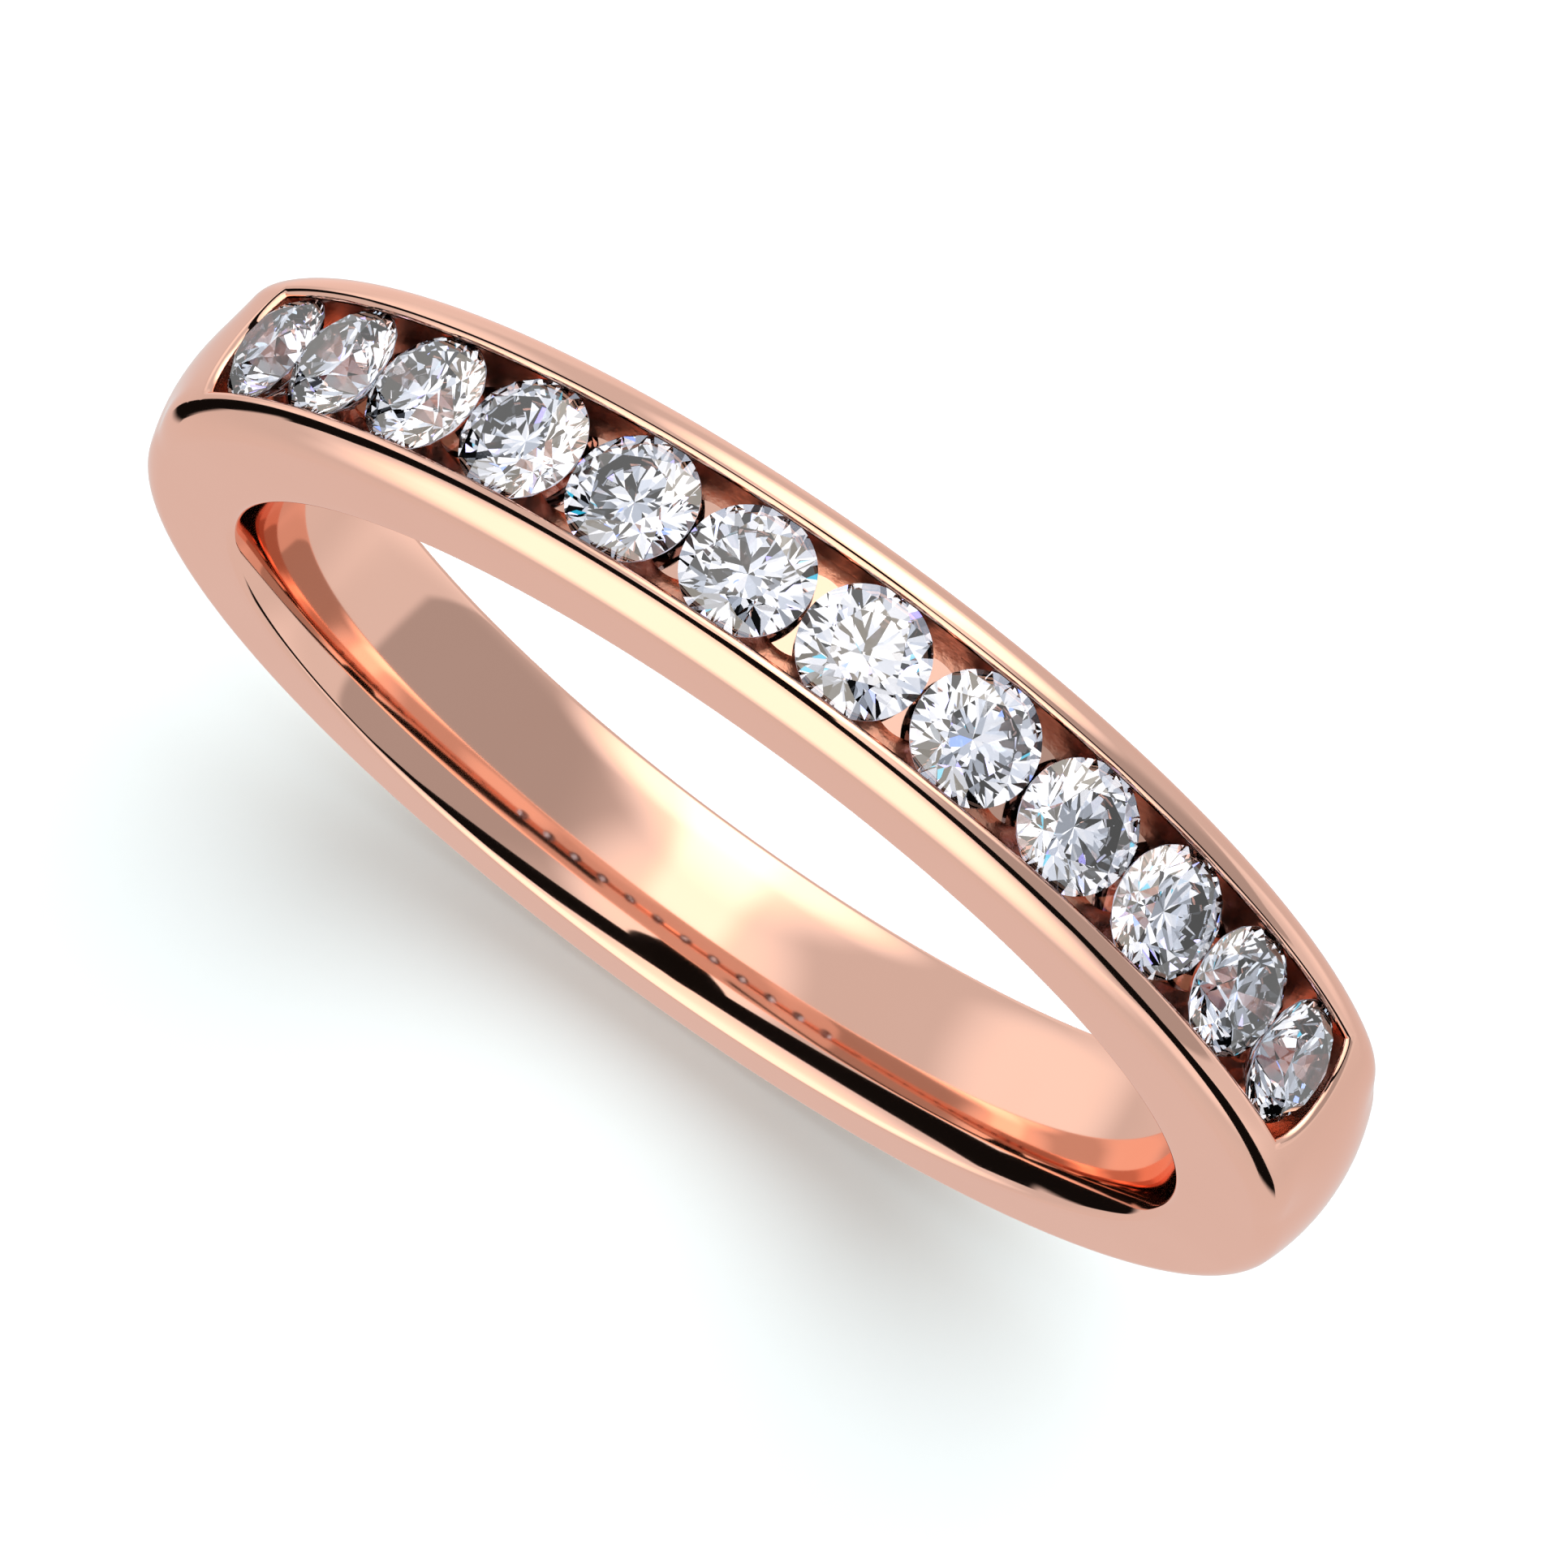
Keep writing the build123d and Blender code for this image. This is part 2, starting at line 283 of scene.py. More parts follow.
# ------------------------------------------------------------------ layout of the band
class Layout:
    """Angles of the stones and of the rows of points round the band."""

    def __init__(self, sizes):
        half_step = math.asin(sizes.stone_gap_step / 2 / sizes.girdle_circle)
        self.half_step = half_step
        self.last = half_step * (sizes.stone_count - 1)
        self.stones = np.linspace(-self.last, self.last, sizes.stone_count)
        edge_half = sizes.channel_half_width + sizes.mouth_round
        edge_end = sizes.channel_end_radius + sizes.mouth_round
        # outline of the mouth and of the wall, from where the straight wall ends to the tip
        share = np.linspace(1, 0, COLUMNS_AT_END + 1)
        edge_turn = math.asin(edge_half / edge_end) * share
        wall_turn = math.asin(sizes.channel_half_width / sizes.channel_end_radius) * share
        self.edge_along = edge_end * np.cos(edge_turn)
        self.edge_across = edge_end * np.sin(edge_turn)
        self.wall_along = sizes.channel_end_radius * np.cos(wall_turn)
        self.wall_across = sizes.channel_end_radius * np.sin(wall_turn)
        head_end = self.last + (sizes.channel_end_radius / sizes.girdle_circle) + (
            sizes.end_wall_run / sizes.outer_radius
        )
        self.head_end = head_end
        self.shank_start = head_end + sizes.blend_run / sizes.outer_radius
        half = COLUMNS_PER_CELL // 2
        self.cells = []
        for number, angle in enumerate(self.stones):
            first = number == 0
            final = number == sizes.stone_count - 1
            reach = math.asin(self.edge_along[0] / sizes.outer_radius)
            low = -reach if first else -half_step
            high = reach if final else half_step
            steps = np.concatenate([np.linspace(low, 0, half + 1), steps_after(0, high, half)])
            self.cells.append(angle + steps)
        cell_rows = np.concatenate([cell[:-1] for cell in self.cells] + [self.cells[-1][-1:]])
        end_rows = self.last + np.arcsin(self.edge_along[1:] / sizes.outer_radius)
        plain = np.concatenate([
            steps_after(end_rows[-1], head_end, COLUMNS_TO_HEAD_END),
            steps_after(head_end, self.shank_start, COLUMNS_OVER_BLEND),
            steps_after(self.shank_start, math.pi, COLUMNS_OF_SHANK),
        ])
        right = np.concatenate([end_rows, plain])
        left = 2 * math.pi - right[::-1][1:]
        self.rows = np.concatenate([cell_rows, right, left])
        edge = np.zeros_like(self.rows)
        edge[:len(cell_rows)] = edge_half
        edge[len(cell_rows):len(cell_rows) + COLUMNS_AT_END] = self.edge_across[1:]
        edge[-COLUMNS_AT_END:] = self.edge_across[1:][::-1]
        self.edge = edge
        self.bore_rows = np.concatenate([
            cell_rows[-1:], right, left, cell_rows[:1] + 2 * math.pi
        ])


def smooth_step(share):
    """3 s^2 - 2 s^3, held between 0 and 1."""
    share = np.clip(share, 0, 1)
    return share * share * (3 - 2 * share)


def bore_height(sizes, across):
    """Radius of the bore near its middle: r = Rb + Rc - sqrt(Rc^2 - y^2)."""
    return sizes.bore_radius + sizes.bore_crown - np.sqrt(sizes.bore_crown**2 - across**2)


def skin_surface(sizes, layout):
    """Half of the skin, from the channel mouth over the rail and the side to the land.

    Across y the top is r = Ro - k y^2 / (1 + sqrt(1 - k^2 y^2)), k growing from 0 on the head
    to 1 / crown radius on the shank, and a round corner of radius c ends it at the side.
    The bore follows the lip arc, the comfort arc and the crown, each tangent to the next.
    """
    turned = np.minimum(layout.rows, 2 * math.pi - layout.rows)
    turned = np.where(layout.rows < 0, -layout.rows, turned)
    share = (turned - layout.head_end) / (layout.shank_start - layout.head_end)
    roundness = smooth_step(share)[:, None]
    corner = sizes.head_corner + roundness * (sizes.shank_corner - sizes.head_corner)
    bend = roundness / sizes.shank_crown
    centre_across = sizes.half_width - corner
    # centre height of the corner arc, from the tangent point with the dome
    slope_sine = np.minimum(centre_across * bend / (1 - corner * bend), 1)
    slope_cosine = np.sqrt(1 - slope_sine**2)
    drop = centre_across * slope_sine / (1 + slope_cosine)
    centre_radius = sizes.outer_radius - corner - drop
    meet_across = centre_across + corner * slope_sine
    split_across = centre_across + corner * math.cos(CORNER_SPLIT)
    edge = layout.edge[:, None]
    steps = np.linspace(0, 1, TOP_STEPS + 1)[None, :]
    top_across = edge + (split_across - edge) * np.sin(steps * math.pi / 2)
    dome = sizes.outer_radius - bend * top_across**2 / (
        1 + np.sqrt(np.maximum(1 - (bend * top_across) ** 2, 0))
    )
    arc = centre_radius + np.sqrt(np.maximum(corner**2 - (top_across - centre_across) ** 2, 0))
    top_radius = np.where(top_across < meet_across, dome, arc)
    turn = steps_after(CORNER_SPLIT, 0, CORNER_STEPS)[None, :]
    corner_across = centre_across + corner * np.cos(turn)
    corner_radius = centre_radius + corner * np.sin(turn)

    lip_across = sizes.half_width - sizes.lip_radius
    crown_slope = math.asin(sizes.crown_half_width / sizes.bore_crown)
    comfort_across = sizes.crown_half_width - sizes.comfort_radius * math.sin(crown_slope)
    comfort_height = bore_height(sizes, sizes.crown_half_width) + (
        sizes.comfort_radius * math.cos(crown_slope)
    )
    reach = sizes.comfort_radius - sizes.lip_radius
    run = lip_across - comfort_across
    lip_height = comfort_height - math.sqrt(reach**2 - run**2)
    lip_turn = math.atan2(lip_height - comfort_height, run)
    side_share = steps_after(0, 1, FLAT_SIDE_STEPS)[None, :]
    side_radius = corner_radius[:, -1:] + (lip_height - corner_radius[:, -1:]) * side_share
    side_across = np.full_like(side_radius, sizes.half_width)
    lip = steps_after(0, lip_turn, LIP_STEPS)
    comfort = steps_after(lip_turn, crown_slope - math.pi / 2, COMFORT_STEPS)
    crown_across = steps_after(sizes.crown_half_width, sizes.land_half_width, CROWN_STEPS)
    bore_across = np.concatenate([
        lip_across + sizes.lip_radius * np.cos(lip),
        comfort_across + sizes.comfort_radius * np.cos(comfort),
        crown_across,
    ])
    bore_radius = np.concatenate([
        lip_height + sizes.lip_radius * np.sin(lip),
        comfort_height + sizes.comfort_radius * np.sin(comfort),
        bore_height(sizes, crown_across),
    ])
    rows = len(layout.rows)
    across = np.hstack([top_across, corner_across, side_across, np.tile(bore_across, (rows, 1))])
    radius = np.hstack([top_radius, corner_radius, side_radius, np.tile(bore_radius, (rows, 1))])
    return on_band(layout.rows[:, None], radius, across)


def mirrored(points):
    """The same points on the other side of the band."""
    return points * np.array([1.0, -1.0, 1.0])


def cell_outline(columns, half, right_across, left_across):
    """Closed outline of a cell: right side upwards, top, left side downwards, bottom."""
    right = columns[-1]
    left = columns[0]
    angle = np.concatenate([
        np.full(len(right_across), right), columns[::-1][1:],
        np.full(len(left_across) - 1, left), columns[1:],
    ])
    across = np.concatenate([
        right_across, np.full(len(columns) - 1, half),
        left_across[1:], np.full(len(columns) - 1, -half),
    ])
    return angle, across


def side_steps(half, count):
    """Even steps across a cell from -half to half."""
    return np.linspace(-half, half, count + 1)


def floor_outline(sizes, layout, number):
    """Outline of one seat cell on the channel floor, as angle and across."""
    columns = layout.cells[number]
    half = sizes.channel_half_width
    radius = sizes.girdle_circle - sizes.floor_drop
    first = number == 0
    final = number == sizes.stone_count - 1
    centre = layout.stones[number]
    if not (first or final):
        side = side_steps(half, SIDE_STEPS)
        return cell_outline(columns, half, side, -side)
    along = np.concatenate([layout.wall_along, layout.wall_along[::-1][1:]])
    across = np.concatenate([-layout.wall_across, layout.wall_across[::-1][1:]])
    reach = math.asin(layout.wall_along[0] / radius)
    half_cell = COLUMNS_PER_CELL // 2
    straight = np.linspace(0, reach, half_cell + 1)
    inner = columns[half_cell::-1] if final else columns[half_cell:]
    inner = (inner - centre) if final else (centre - inner)
    # written for the far end of the row, then turned over for the near end
    angle = np.concatenate([
        np.arcsin(along / radius), straight[::-1][1:], inner[1:],
        np.full(SIDE_STEPS, inner[-1]), inner[::-1][1:], straight[1:],
    ])
    side = side_steps(half, SIDE_STEPS)
    whole = len(straight) - 1 + len(inner) - 1
    outline_across = np.concatenate([
        across, np.full(whole, half), -side[1:], np.full(whole, -half)
    ])
    sign = 1 if final else -1
    return centre + sign * angle, sign * outline_across


def seat_cone_height(sizes, distance):
    """Height of the seat cone over the girdle plane at a distance from the stone's axis."""
    slope = math.tan(sizes.pavilion_angle)
    return -sizes.groove_half_height - (sizes.seat_radius - distance) * slope


def seat_surfaces(sizes, layout, number):
    """Floor with its seat cone, azure hole and bore land of one cell, as grids of points.

    Rings run from the azure circle to the cell outline: the cone h = -g - (Rs - d) tan p, then
    the floor r = Rf.  The land in the bore is the same fan of lines on the crown of the bore.
    """
    centre = layout.stones[number]
    floor_radius = sizes.girdle_circle - sizes.floor_drop
    angle, across = floor_outline(sizes, layout, number)
    along = floor_radius * np.sin(angle - centre)
    turn = np.arctan2(across, along)
    crease = np.full_like(turn, sizes.azure_radius)
    slope = math.tan(sizes.pavilion_angle)
    for _ in range(CREASE_ROUNDS):
        floor_height = np.sqrt(floor_radius**2 - (crease * np.cos(turn)) ** 2) - sizes.girdle_circle
        crease = sizes.seat_radius + (floor_height + sizes.groove_half_height) / slope
    cone = []
    for share in np.linspace(0, 1, CONE_STEPS + 1):
        distance = sizes.azure_radius + (crease - sizes.azure_radius) * share
        cone.append(on_seat(
            centre, sizes.girdle_circle, distance * np.cos(turn), distance * np.sin(turn),
            seat_cone_height(sizes, distance),
        ))
    edge = on_band(angle, floor_radius, across)
    floor = []
    for share in np.linspace(0, 1, FLOOR_STEPS + 1):
        ring = cone[-1] * (1 - share) + edge * share
        radial = np.hypot(ring[:, 0], ring[:, 2])
        scale = floor_radius / radial
        floor.append(ring * np.stack([scale, np.ones_like(scale), scale], axis=-1))
    # the azure hole, from the cone down to the land
    hole_along = sizes.azure_radius * np.cos(turn)
    hole_across = sizes.azure_radius * np.sin(turn)
    hole_radius = bore_height(sizes, hole_across)
    land_height = np.sqrt(hole_radius**2 - hole_along**2) - sizes.girdle_circle
    top_height = seat_cone_height(sizes, sizes.azure_radius)
    hole = []
    for share in np.linspace(0, 1, HOLE_STEPS + 1):
        height = top_height + (land_height - top_height) * share
        hole.append(on_seat(centre, sizes.girdle_circle, hole_along, hole_across, height))
    # the land round the hole
    columns = layout.cells[number]
    final = number == sizes.stone_count - 1
    first = number == 0
    right_count = 2 * COLUMNS_AT_END if final else SIDE_STEPS
    left_count = 2 * COLUMNS_AT_END if first else SIDE_STEPS
    land_angle, land_across = cell_outline(
        columns, sizes.land_half_width, side_steps(sizes.land_half_width, right_count),
        -side_steps(sizes.land_half_width, left_count),
    )
    if first:
        # its outline starts on the other side, as the floor outline does
        shift = right_count + COLUMNS_PER_CELL
        land_angle = np.roll(land_angle[:-1], -shift)
        land_across = np.roll(land_across[:-1], -shift)
        land_angle = np.append(land_angle, land_angle[0])
        land_across = np.append(land_across, land_across[0])
    hole_angle = centre + np.arcsin(hole_along / hole_radius)
    land = []
    for share in np.linspace(0, 1, LAND_STEPS + 1):
        ring_across = hole_across * (1 - share) + land_across * share
        land.append(on_band(
            hole_angle * (1 - share) + land_angle * share,
            bore_height(sizes, ring_across),
            ring_across,
        ))
    return np.stack(cone), np.stack(floor), np.stack(hole), np.stack(land)


def wall_surface(sizes, layout):
    """One long wall of the channel with the round ends, from the mouth to the floor.

    The wall stands at y = w and gives way to each girdle groove: y = max(w, sqrt(d(h)^2 - x^2)),
    where d(h) is the radius of the seat at height h and x the distance along from the stone.
    """
    mouth_radius = sizes.outer_radius - sizes.mouth_round
    floor_radius = sizes.girdle_circle - sizes.floor_drop
    groove = sizes.groove_half_height
    levels = np.concatenate([
        [mouth_radius - sizes.girdle_circle],
        groove * np.array(WALL_LEVELS),
        [floor_radius - sizes.girdle_circle],
    ])
    radius = (sizes.girdle_circle + levels)[:, None]
    half_cell = COLUMNS_PER_CELL // 2
    inner = np.concatenate([cell[:-1] for cell in layout.cells[1:-1]] + [layout.cells[-2][-1:]])
    angle = np.tile(inner, (len(levels), 1))
    first = layout.cells[0]
    final = layout.cells[-1]
    straight = steps_after(0, layout.wall_along[0], half_cell)
    end_along = np.concatenate([straight, layout.wall_along[1:]])
    end_turn = np.arcsin(end_along[None, :] / radius)
    final_inner = np.tile(final[1:half_cell + 1], (len(levels), 1))
    first_inner = np.tile(first[half_cell:-1], (len(levels), 1))
    angle = np.hstack([
        (layout.stones[0] - end_turn)[:, ::-1], first_inner, angle, final_inner,
        layout.stones[-1] + end_turn,
    ])
    across = np.full(angle.shape, sizes.channel_half_width)
    arc_across = layout.wall_across[1:]
    across[:, :COLUMNS_AT_END] = arc_across[::-1]
    across[:, -COLUMNS_AT_END:] = arc_across
    lower_slope = math.tan(sizes.pavilion_angle)
    upper_slope = math.tan(sizes.crown_angle)
    for stone in layout.stones:
        along = radius * np.sin(angle - stone)
        height = radius * np.cos(angle - stone) - sizes.girdle_circle
        seat = np.where(
            height > 0,
            sizes.seat_radius - np.maximum(height - groove, 0) / upper_slope,
            sizes.seat_radius + np.minimum(height + groove, 0) / lower_slope,
        )
        near = (np.abs(along) < seat) & (np.abs(height) < SEAT_REACH * groove)
        bulge = np.sqrt(np.maximum(seat**2 - along**2, 0))
        across = np.where(near, np.maximum(across, bulge), across)
    across[[0, -1]] = np.minimum(across[[0, -1]], sizes.channel_half_width)
    return on_band(angle, radius, across)


def mouth_surface(edge, wall_top):
    """Quarter round between the mouth edge of the skin and the top of the wall.

    Going from the wall to the edge, the run is 1 - cos t and the rise sin t of the whole.
    """
    turn = np.linspace(0, math.pi / 2, MOUTH_STEPS + 1)[:, None]
    edge_radius = np.hypot(edge[:, 0], edge[:, 2])
    wall_radius = np.hypot(wall_top[:, 0], wall_top[:, 2])
    edge_angle = np.arctan2(edge[:, 0], edge[:, 2])
    wall_angle = np.arctan2(wall_top[:, 0], wall_top[:, 2])
    run = 1 - np.cos(turn)
    rise = np.sin(turn)
    return on_band(
        wall_angle + (edge_angle - wall_angle) * run,
        wall_radius + (edge_radius - wall_radius) * rise,
        wall_top[:, 1] + (edge[:, 1] - wall_top[:, 1]) * run,
    )


def bridge_surface(sizes, layout, angle):
    """Metal left between two seats: a disc of radius Rb at the bridge height, cut by both seats.

    At a distance y across, its half length is min(sqrt(Rb^2 - y^2), x(y, h)), where x(y, h) is
    where the seat cone of the next stone stands at height h.
    """
    slope = math.tan(sizes.pavilion_angle)
    foot = -(sizes.floor_drop + sizes.groove_half_height)
    levels = np.linspace(foot, -sizes.bridge_drop, BRIDGE_LEVELS)
    across = sizes.bridge_radius * np.sin(np.linspace(-math.pi / 2, math.pi / 2, BRIDGE_ROWS))
    y = across[:, None]
    h = levels[None, :]
    tilt = layout.half_step
    centre_along = sizes.girdle_circle * math.sin(tilt)
    centre_height = sizes.girdle_circle * (math.cos(tilt) - 1)
    along = np.zeros((len(across), len(levels)))
    for _ in range(BRIDGE_ROUNDS):
        up = (along - centre_along) * math.sin(tilt) + (h - centre_height) * math.cos(tilt)
        seat = sizes.seat_radius + (up + sizes.groove_half_height) / slope
        back = -np.sqrt(np.maximum(seat**2 - y**2, 0))
        along = centre_along + (back + (h - centre_height) * math.sin(tilt)) / math.cos(tilt)
    disc = np.sqrt(np.maximum(sizes.bridge_radius**2 - y**2, 0))
    half = np.minimum(disc, np.maximum(along, 0))
    top = np.linspace(1, -1, BRIDGE_TOP_STEPS + 1)[None, 1:-1]
    half_top = half[:, -1:]
    section_along = np.hstack([half, half_top * top, -half[:, ::-1]])
    section_height = np.hstack([
        np.tile(levels, (len(across), 1)),
        np.full((len(across), top.shape[1]), levels[-1]),
        np.tile(levels[::-1], (len(across), 1)),
    ])
    section_along = np.hstack([section_along, section_along[:, :1]])
    section_height = np.hstack([section_height, section_height[:, :1]])
    return on_seat(angle, sizes.girdle_circle, section_along, y, section_height)


# ------------------------------------------------------------------ materials
# spots of thinner polish about 3 mm across, and casting grain about 0.1 mm across, per metre
POLISH_SCALE = 350.0
GRAIN_SCALE = 9000.0
GRAIN_HEIGHT = 0.00002
GRAIN_STRENGTH = 0.35
POLISH_DETAIL = 2.0
GRAIN_DETAIL = 3.0
POLISH_ROUGHNESS = (0.035, 0.07)
SATIN_ROUGHNESS = (0.16, 0.30)
DIAMOND_IOR = 2.417
# how far the surface of a stone turns from its axis at the girdle, and how clear it is there
GIRDLE_TURN = (0.30, 0.40)
GIRDLE_ROUGHNESS = 0.30
GIRDLE_CLARITY = 0.85
FLOOR_ROUGHNESS = 0.9


def add_node(tree, kind, links=(), **settings):
    """Adds a node, gives it settings and links its named inputs."""
    node = tree.nodes.new(kind)
    for name, value in settings.items():
        if hasattr(node, name):
            setattr(node, name, value)
        else:
            node.inputs[name].default_value = value
    for name, output in dict(links).items():
        tree.links.new(output, node.inputs[name])
    return node


def spread_over(tree, value, source, target, **settings):
    """Maps a range of a value onto another range."""
    node = add_node(tree, "ShaderNodeMapRange", {"Value": value}, **settings)
    for name, number in zip(("From Min", "From Max", "To Min", "To Max"), (*source, *target)):
        node.inputs[name].default_value = number
    return node.outputs["Result"]


def new_material(name):
    """An empty node material with a Principled shader joined to its output."""
    material = bpy.data.materials.new(name)
    material.use_nodes = True
    tree = material.node_tree
    tree.nodes.clear()
    shader = tree.nodes.new("ShaderNodeBsdfPrincipled")
    output = tree.nodes.new("ShaderNodeOutputMaterial")
    tree.links.new(shader.outputs["BSDF"], output.inputs["Surface"])
    return material, tree, shader


def polished_rose_gold(colours):
    """Rose gold polished on a felt wheel: its colour and gloss drift a little over the surface."""
    material, tree, shader = new_material("polished_rose_gold")
    place = add_node(tree, "ShaderNodeTexCoord")
    cloud = add_node(
        tree, "ShaderNodeTexNoise", {"Vector": place.outputs["Object"]}, Scale=POLISH_SCALE,
        Detail=POLISH_DETAIL,
    )
    tone = add_node(
        tree, "ShaderNodeMix", {"Factor": cloud.outputs["Fac"]}, data_type="RGBA",
    )
    tone.inputs["A"].default_value = (*colours.rose_gold, 1)
    tone.inputs["B"].default_value = (*colours.rose_gold_deep, 1)
    roughness = spread_over(tree, cloud.outputs["Fac"], (0, 1), POLISH_ROUGHNESS)
    tree.links.new(tone.outputs["Result"], shader.inputs["Base Color"])
    tree.links.new(roughness, shader.inputs["Roughness"])
    shader.inputs["Metallic"].default_value = 1.0
    shader.inputs["Specular Tint"].default_value = (*colours.rose_gold_edge, 1)
    return material


def satin_rose_gold_painted_shade(colours):
    """Cast, lightly brushed rose gold in the channel where no wheel reaches, darker as painted shade.
    """
    material, tree, shader = new_material("satin_rose_gold_painted_shade")
    place = add_node(tree, "ShaderNodeTexCoord")
    grain = add_node(
        tree, "ShaderNodeTexNoise", {"Vector": place.outputs["Object"]}, Scale=GRAIN_SCALE,
        Detail=GRAIN_DETAIL,
    )
    roughness = spread_over(tree, grain.outputs["Fac"], (0, 1), SATIN_ROUGHNESS)
    bump = add_node(tree, "ShaderNodeBump", {"Height": grain.outputs["Fac"]}, Strength=GRAIN_STRENGTH)
    bump.inputs["Distance"].default_value = GRAIN_HEIGHT
    tree.links.new(roughness, shader.inputs["Roughness"])
    tree.links.new(bump.outputs["Normal"], shader.inputs["Normal"])
    # painted shade: the darker base colour shades the inside of the channel
    shader.inputs["Base Color"].default_value = (*colours.satin_gold_painted_shade, 1)
    shader.inputs["Metallic"].default_value = 1.0
    return material


def cut_diamond(colours):
    """Colourless brilliant-cut diamond: polished facets and a frosted girdle.

    The girdle is where the surface stands along the axis of the stone, so where its normal is
    square to the direction from the finger axis.
    """
    material, tree, shader = new_material("cut_diamond")
    place = add_node(tree, "ShaderNodeTexCoord")
    outward = add_node(
        tree, "ShaderNodeVectorMath", {0: place.outputs["Object"]}, operation="MULTIPLY"
    )
    outward.inputs[1].default_value = (1, 0, 1)
    outward = add_node(
        tree, "ShaderNodeVectorMath", {0: outward.outputs["Vector"]}, operation="NORMALIZE"
    )
    facing = add_node(
        tree, "ShaderNodeVectorMath", {0: outward.outputs["Vector"], 1: place.outputs["Normal"]},
        operation="DOT_PRODUCT",
    )
    facing = add_node(tree, "ShaderNodeMath", {0: facing.outputs["Value"]}, operation="ABSOLUTE")
    roughness = spread_over(tree, facing.outputs["Value"], GIRDLE_TURN, (GIRDLE_ROUGHNESS, 0))
    clarity = spread_over(tree, facing.outputs["Value"], GIRDLE_TURN, (GIRDLE_CLARITY, 1))
    tree.links.new(roughness, shader.inputs["Roughness"])
    tree.links.new(clarity, shader.inputs["Transmission Weight"])
    shader.inputs["Base Color"].default_value = (*colours.diamond, 1)
    shader.inputs["IOR"].default_value = DIAMOND_IOR
    return material


# ------------------------------------------------------------------ operators
class BAND_OT_band(Operator):
    """Builds the polished band with its channel, seats and azure holes"""

    bl_idname = "wedding_band.band"
    bl_label = "Band"

    def execute(self, context):
        sizes = context.scene.band_sizes
        colours = context.scene.finish_colours
        layout = Layout(sizes)
        shell = Shell()
        skin = skin_surface(sizes, layout)
        shell.patch(skin, closed_rows=True)
        shell.patch(mirrored(skin), closed_rows=True)
        wall = wall_surface(sizes, layout)
        # mouth edge in the order of the wall columns: left tip to right tip
        edge = skin[:, 0]
        cells = int(np.sum(layout.edge == layout.edge[0]))
        mouth = np.concatenate([edge[-COLUMNS_AT_END:], edge[:cells + COLUMNS_AT_END]])
        rounding = mouth_surface(mouth, wall[0])
        for side in (np.copy, mirrored):
            # the walls get the satin gold with its painted shade
            shell.patch(side(wall), finish=SATIN_PAINTED_SHADE)
            shell.patch(side(rounding))
        for number in range(sizes.stone_count):
            cone, floor, hole, land = seat_surfaces(sizes, layout, number)
            # cones, floors and holes get the satin gold with its painted shade
            for surface in (cone, floor, hole):
                shell.patch(surface, finish=SATIN_PAINTED_SHADE)
            shell.patch(land)
        count = 2 * COLUMNS_AT_END
        plain_across = side_steps(sizes.land_half_width, count)
        shell.patch(on_band(
            layout.bore_rows[:, None], bore_height(sizes, plain_across)[None, :],
            plain_across[None, :],
        ))
        piece = add_piece("band_body", shell.mesh("band_mesh", WELD), SHARP_ANGLE)
        piece.data.materials.append(polished_rose_gold(colours))
        piece.data.materials.append(satin_rose_gold_painted_shade(colours))
        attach(piece, "root")
        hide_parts("band")
        return {"FINISHED"}


class BAND_OT_bridges(Operator):
    """Builds the metal bridges between the seats"""

    bl_idname = "wedding_band.bridges"
    bl_label = "Bridges"

    def execute(self, context):
        sizes = context.scene.band_sizes
        layout = Layout(sizes)
        shell = Shell()
        for angle in layout.stones[:-1] + layout.half_step:
            shell.patch(bridge_surface(sizes, layout, angle))
        piece = add_piece("band_bridges", shell.mesh("bridge_mesh", WELD), SHARP_ANGLE)
        piece.data.materials.append(bpy.data.materials["polished_rose_gold"])
        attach(piece, "root")
        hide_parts("band")
        return {"FINISHED"}


class BAND_OT_diamonds(Operator):
    """Gives the brilliant-cut stones their diamond"""

    bl_idname = "wedding_band.diamonds"
    bl_label = "Diamonds"

    def execute(self, context):
        material = cut_diamond(context.scene.finish_colours)
        for name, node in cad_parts.items():
            if name.startswith("diamond"):
                node.data.materials.clear()
                node.data.materials.append(material)
        return {"FINISHED"}


